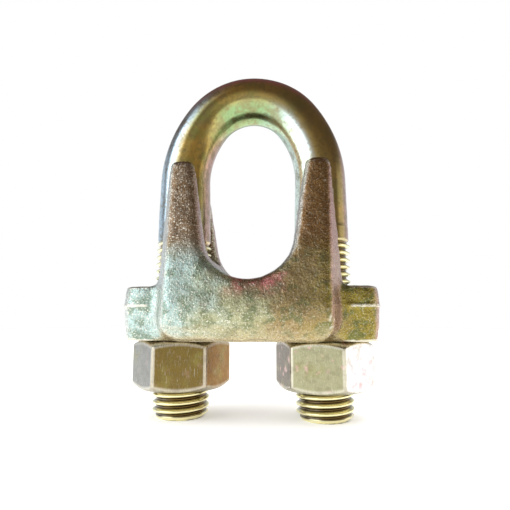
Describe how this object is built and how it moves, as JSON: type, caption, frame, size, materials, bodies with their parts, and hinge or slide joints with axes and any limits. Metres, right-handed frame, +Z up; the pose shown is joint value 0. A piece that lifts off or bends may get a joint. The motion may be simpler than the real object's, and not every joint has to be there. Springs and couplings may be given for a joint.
{
  "type": "wire rope clip",
  "caption": "Plated steel wire rope clip: a threaded U-bolt, a tall forged saddle with a rope groove, and hexagon nuts that draw the saddle up the legs.",
  "frame": {"origin": "middle of the base, with the threaded leg ends standing on Z = 0", "axes": "+X across the two legs, +Y along the rope, +Z up the legs towards the bend"},
  "size_m": [0.069, 0.038, 0.0989],
  "materials": {
    "plated_bar": "bright yellow zinc plate, smooth bar",
    "plated_forging": "yellow zinc plate over rough forged skin",
    "plated_nut": "yellow zinc plate, machined faces with worn edges"
  },
  "bodies": {
    "u_bolt": {"u_bolt": "plated_bar"},
    "saddle": {"saddle": "plated_forging"},
    "nut_left": {"nut_left": "plated_nut"},
    "nut_right": {"nut_right": "plated_nut"}
  },
  "joints": [
    {"name": "saddle_slide", "type": "slide", "parent": "u_bolt", "child": "saddle", "axis": [0, 0, 1], "range_m": [-0.008, 0.026]},
    {"name": "nut_left_turn", "type": "hinge", "parent": "saddle", "child": "nut_left", "pos_m": [-0.02, 0, 0.0145], "axis": [0, 0, 1], "range_deg": [-1440, 4680]},
    {"name": "nut_right_turn", "type": "hinge", "parent": "saddle", "child": "nut_right", "pos_m": [0.02, 0, 0.0145], "axis": [0, 0, 1], "range_deg": [-1440, 4680]}
  ],
  "couplings": [
    {"joint": "nut_left_turn", "follows": "saddle_slide", "rad_per_m": 3141.6},
    {"joint": "nut_right_turn", "follows": "saddle_slide", "rad_per_m": 3141.6}
  ]
}
